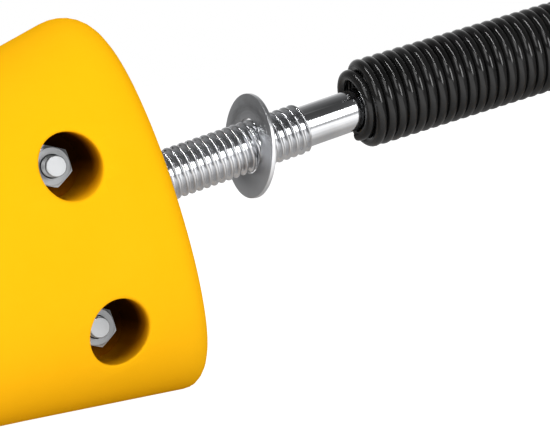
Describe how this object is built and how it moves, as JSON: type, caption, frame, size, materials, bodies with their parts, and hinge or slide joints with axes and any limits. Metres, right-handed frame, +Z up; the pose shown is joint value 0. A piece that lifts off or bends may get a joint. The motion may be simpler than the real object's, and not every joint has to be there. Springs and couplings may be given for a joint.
{
  "type": "pair of shoe trees",
  "caption": "Pair of shoe trees: yellow clamped toe and heel blocks joined by a threaded rod, a loose washer and a black coil spring.",
  "frame": {"origin": "on the flat sole of the left toe piece's outer half, 45 mm ahead of that piece's rear face", "axes": "+X from toe to heel along both trees, +Y from the left tree to the right one, +Z up"},
  "size_m": [0.4304, 0.1736, 0.0771],
  "materials": {
    "yellow_plastic": "smooth satin gloss, bright yellow through and through",
    "chrome_plate": "bright plated steel",
    "zinc_steel": "bright zinc plated steel",
    "black_enamel": "gloss black enamel",
    "grey_nylon": "plain dark nylon, out of sight in the spring"
  },
  "bodies": {
    "left_toe": {"left_toe_outer_half": "yellow_plastic", "left_toe_inner_half": "yellow_plastic", "left_toe_upper_bolt": "zinc_steel", "left_toe_lower_bolt": "zinc_steel", "left_toe_upper_nut": "zinc_steel", "left_toe_lower_nut": "zinc_steel", "left_toe_upper_peg": "zinc_steel", "left_toe_lower_peg": "zinc_steel", "left_anchor_nut": "zinc_steel"},
    "left_carrier": {"left_guide_bush": "grey_nylon", "left_coil_spring": "black_enamel"},
    "left_rod": {"left_threaded_rod": "chrome_plate", "left_stop_pin": "zinc_steel", "left_front_shank_ring": "zinc_steel", "left_rear_shank_ring": "zinc_steel"},
    "left_washer": {"left_rod_washer": "chrome_plate"},
    "left_heel": {"left_heel_outer_half": "yellow_plastic", "left_heel_inner_half": "yellow_plastic", "left_heel_front_bolt": "zinc_steel", "left_heel_rear_bolt": "zinc_steel", "left_heel_front_nut": "zinc_steel", "left_heel_rear_nut": "zinc_steel", "left_heel_lower_peg": "zinc_steel", "left_heel_upper_peg": "zinc_steel", "left_spring_stud": "zinc_steel", "left_stud_pin": "zinc_steel"},
    "right_toe": {"right_toe_outer_half": "yellow_plastic", "right_toe_inner_half": "yellow_plastic", "right_toe_upper_bolt": "zinc_steel", "right_toe_lower_bolt": "zinc_steel", "right_toe_upper_nut": "zinc_steel", "right_toe_lower_nut": "zinc_steel", "right_toe_upper_peg": "zinc_steel", "right_toe_lower_peg": "zinc_steel", "right_anchor_nut": "zinc_steel"},
    "right_carrier": {"right_guide_bush": "grey_nylon", "right_coil_spring": "black_enamel"},
    "right_rod": {"right_threaded_rod": "chrome_plate", "right_stop_pin": "zinc_steel", "right_front_shank_ring": "zinc_steel", "right_rear_shank_ring": "zinc_steel"},
    "right_washer": {"right_rod_washer": "chrome_plate"},
    "right_heel": {"right_heel_outer_half": "yellow_plastic", "right_heel_inner_half": "yellow_plastic", "right_heel_front_bolt": "zinc_steel", "right_heel_rear_bolt": "zinc_steel", "right_heel_front_nut": "zinc_steel", "right_heel_rear_nut": "zinc_steel", "right_heel_lower_peg": "zinc_steel", "right_heel_upper_peg": "zinc_steel", "right_spring_stud": "zinc_steel", "right_stud_pin": "zinc_steel"}
  },
  "joints": [
    {"name": "left_length", "type": "slide", "parent": "left_toe", "child": "left_carrier", "axis": [0.9833, 0, 0.1822], "range_m": [-0.0096, 0.008]},
    {"name": "left_rod_turn", "type": "hinge", "parent": "left_carrier", "child": "left_rod", "pos_m": [0.045, 0.004, 0.03894], "axis": [0.9833, 0, 0.1822], "range_deg": [-2160, 1800]},
    {"name": "left_washer_slide", "type": "slide", "parent": "left_carrier", "child": "left_washer", "axis": [0.9833, 0, 0.1822], "range_m": [-0.0105, 0.018]},
    {"name": "left_heel_bow", "type": "hinge", "parent": "left_carrier", "child": "left_heel", "pos_m": [0.13118, 0.004, 0.05404], "axis": [0, 1, 0], "range_deg": [-20, 30], "stiffness_Nm_per_rad": 0.29, "deforming": ["left_coil_spring"]},
    {"name": "right_lift", "type": "slide", "parent": "left_toe", "child": "right_toe", "axis": [0, 0, 1], "range_m": [0, 0.12]},
    {"name": "right_length", "type": "slide", "parent": "right_toe", "child": "right_carrier", "axis": [0.9833, 0, 0.1822], "range_m": [-0.0096, 0.008]},
    {"name": "right_rod_turn", "type": "hinge", "parent": "right_carrier", "child": "right_rod", "pos_m": [-0.105, 0.102, 0.03894], "axis": [0.9833, 0, 0.1822], "range_deg": [-2160, 1800]},
    {"name": "right_washer_slide", "type": "slide", "parent": "right_carrier", "child": "right_washer", "axis": [0.9833, 0, 0.1822], "range_m": [-0.0105, 0.018]},
    {"name": "right_heel_bow", "type": "hinge", "parent": "right_carrier", "child": "right_heel", "pos_m": [-0.01882, 0.102, 0.05404], "axis": [0, 1, 0], "range_deg": [-20, 30], "stiffness_Nm_per_rad": 0.29, "deforming": ["right_coil_spring"]}
  ],
  "couplings": [
    {"joint": "left_rod_turn", "follows": "left_length", "rad_per_m": 3927},
    {"joint": "right_rod_turn", "follows": "right_length", "rad_per_m": 3927}
  ]
}
